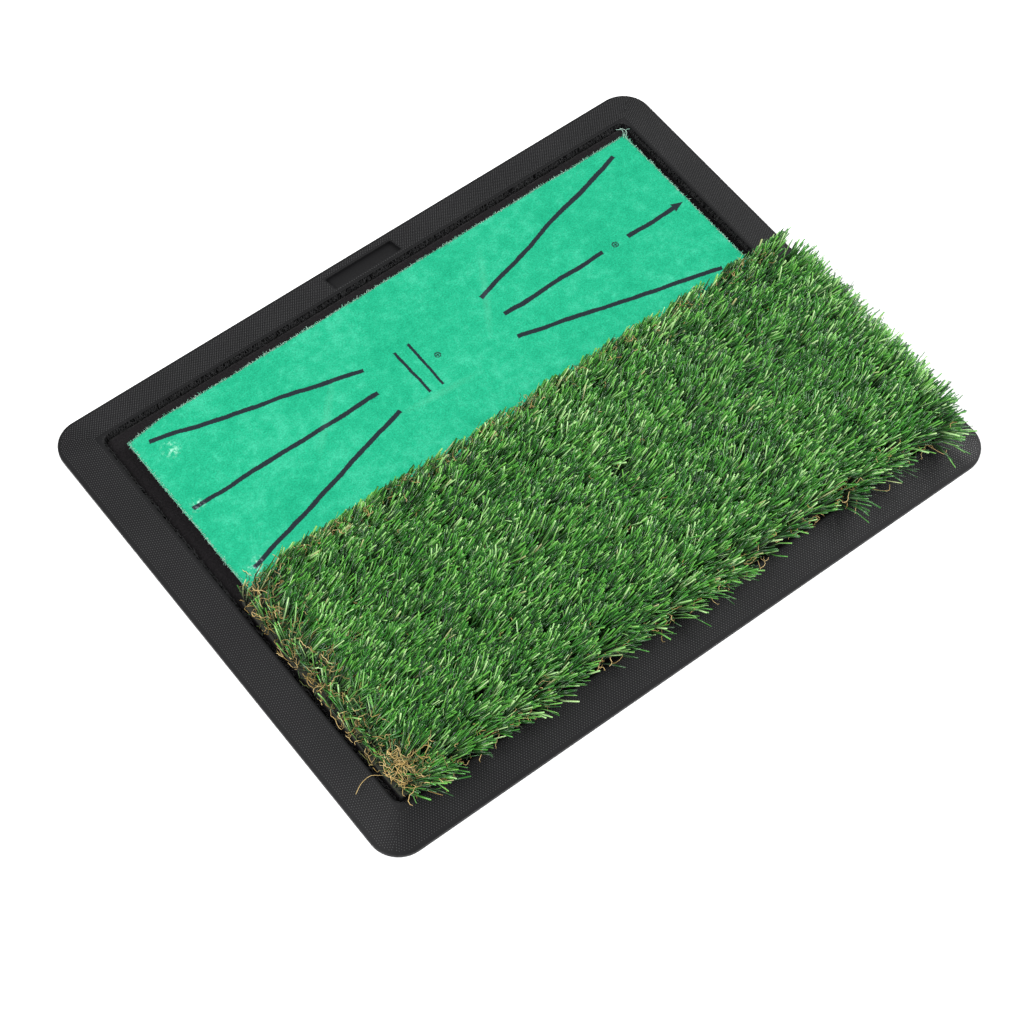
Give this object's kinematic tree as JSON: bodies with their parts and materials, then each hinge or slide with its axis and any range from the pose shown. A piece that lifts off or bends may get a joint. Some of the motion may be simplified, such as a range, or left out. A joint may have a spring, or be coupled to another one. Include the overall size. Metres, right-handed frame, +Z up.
{
  "type": "golf hitting mat",
  "caption": "Low ramped rubber tray with two peel-off practice pads: a printed velvet strike pad and a leaning artificial turf pad.",
  "frame": {"origin": "middle of the tray's underside, on the ground", "axes": "+X along the long side, the way the turf blades lean and the printed arrow points; +Y from the turf pad to the velvet pad; +Z up"},
  "size_m": [0.42, 0.329, 0.0307],
  "materials": {
    "tray_rubber": "moulded, fine raised dot texture, satin sheen",
    "liner_loop": "brushed loop fleece",
    "foam_rubber": "open-cell foam rubber, cut edge",
    "velvet_ground": "woven ground cloth, pale green, frayed at the cut edges",
    "velvet_green": "short dense velvet pile with dark printed alignment lines",
    "hook_nylon": "woven hook tape",
    "latex_black": "poured latex coat, slightly dimpled",
    "primary_weave": "woven flat-tape backing",
    "thatch_tan": "curled texturised yarn, tan and green",
    "turf_green": "flat polyethylene blades with a soft gloss"
  },
  "bodies": {
    "base": {"base_tray": "tray_rubber", "loop_liner": "liner_loop"},
    "velvet_pad": {"velvet_foam_backing": "foam_rubber", "velvet_ground_cloth": "velvet_ground", "velvet_pile": "velvet_green", "velvet_hook_strip_1": "hook_nylon", "velvet_hook_strip_2": "hook_nylon", "velvet_hook_strip_3": "hook_nylon"},
    "turf_pad": {"turf_latex_coat": "latex_black", "turf_primary_backing": "primary_weave", "turf_thatch": "thatch_tan", "turf_blades": "turf_green", "turf_hook_strip_1": "hook_nylon", "turf_hook_strip_2": "hook_nylon", "turf_hook_strip_3": "hook_nylon", "turf_hook_strip_4": "hook_nylon"}
  },
  "joints": [
    {"name": "velvet_pad_lift", "type": "slide", "parent": "base", "child": "velvet_pad", "axis": [0, 0, 1], "range_m": [0, 0.06]},
    {"name": "turf_pad_lift", "type": "slide", "parent": "base", "child": "turf_pad", "axis": [0, 0, 1], "range_m": [0, 0.06]}
  ]
}
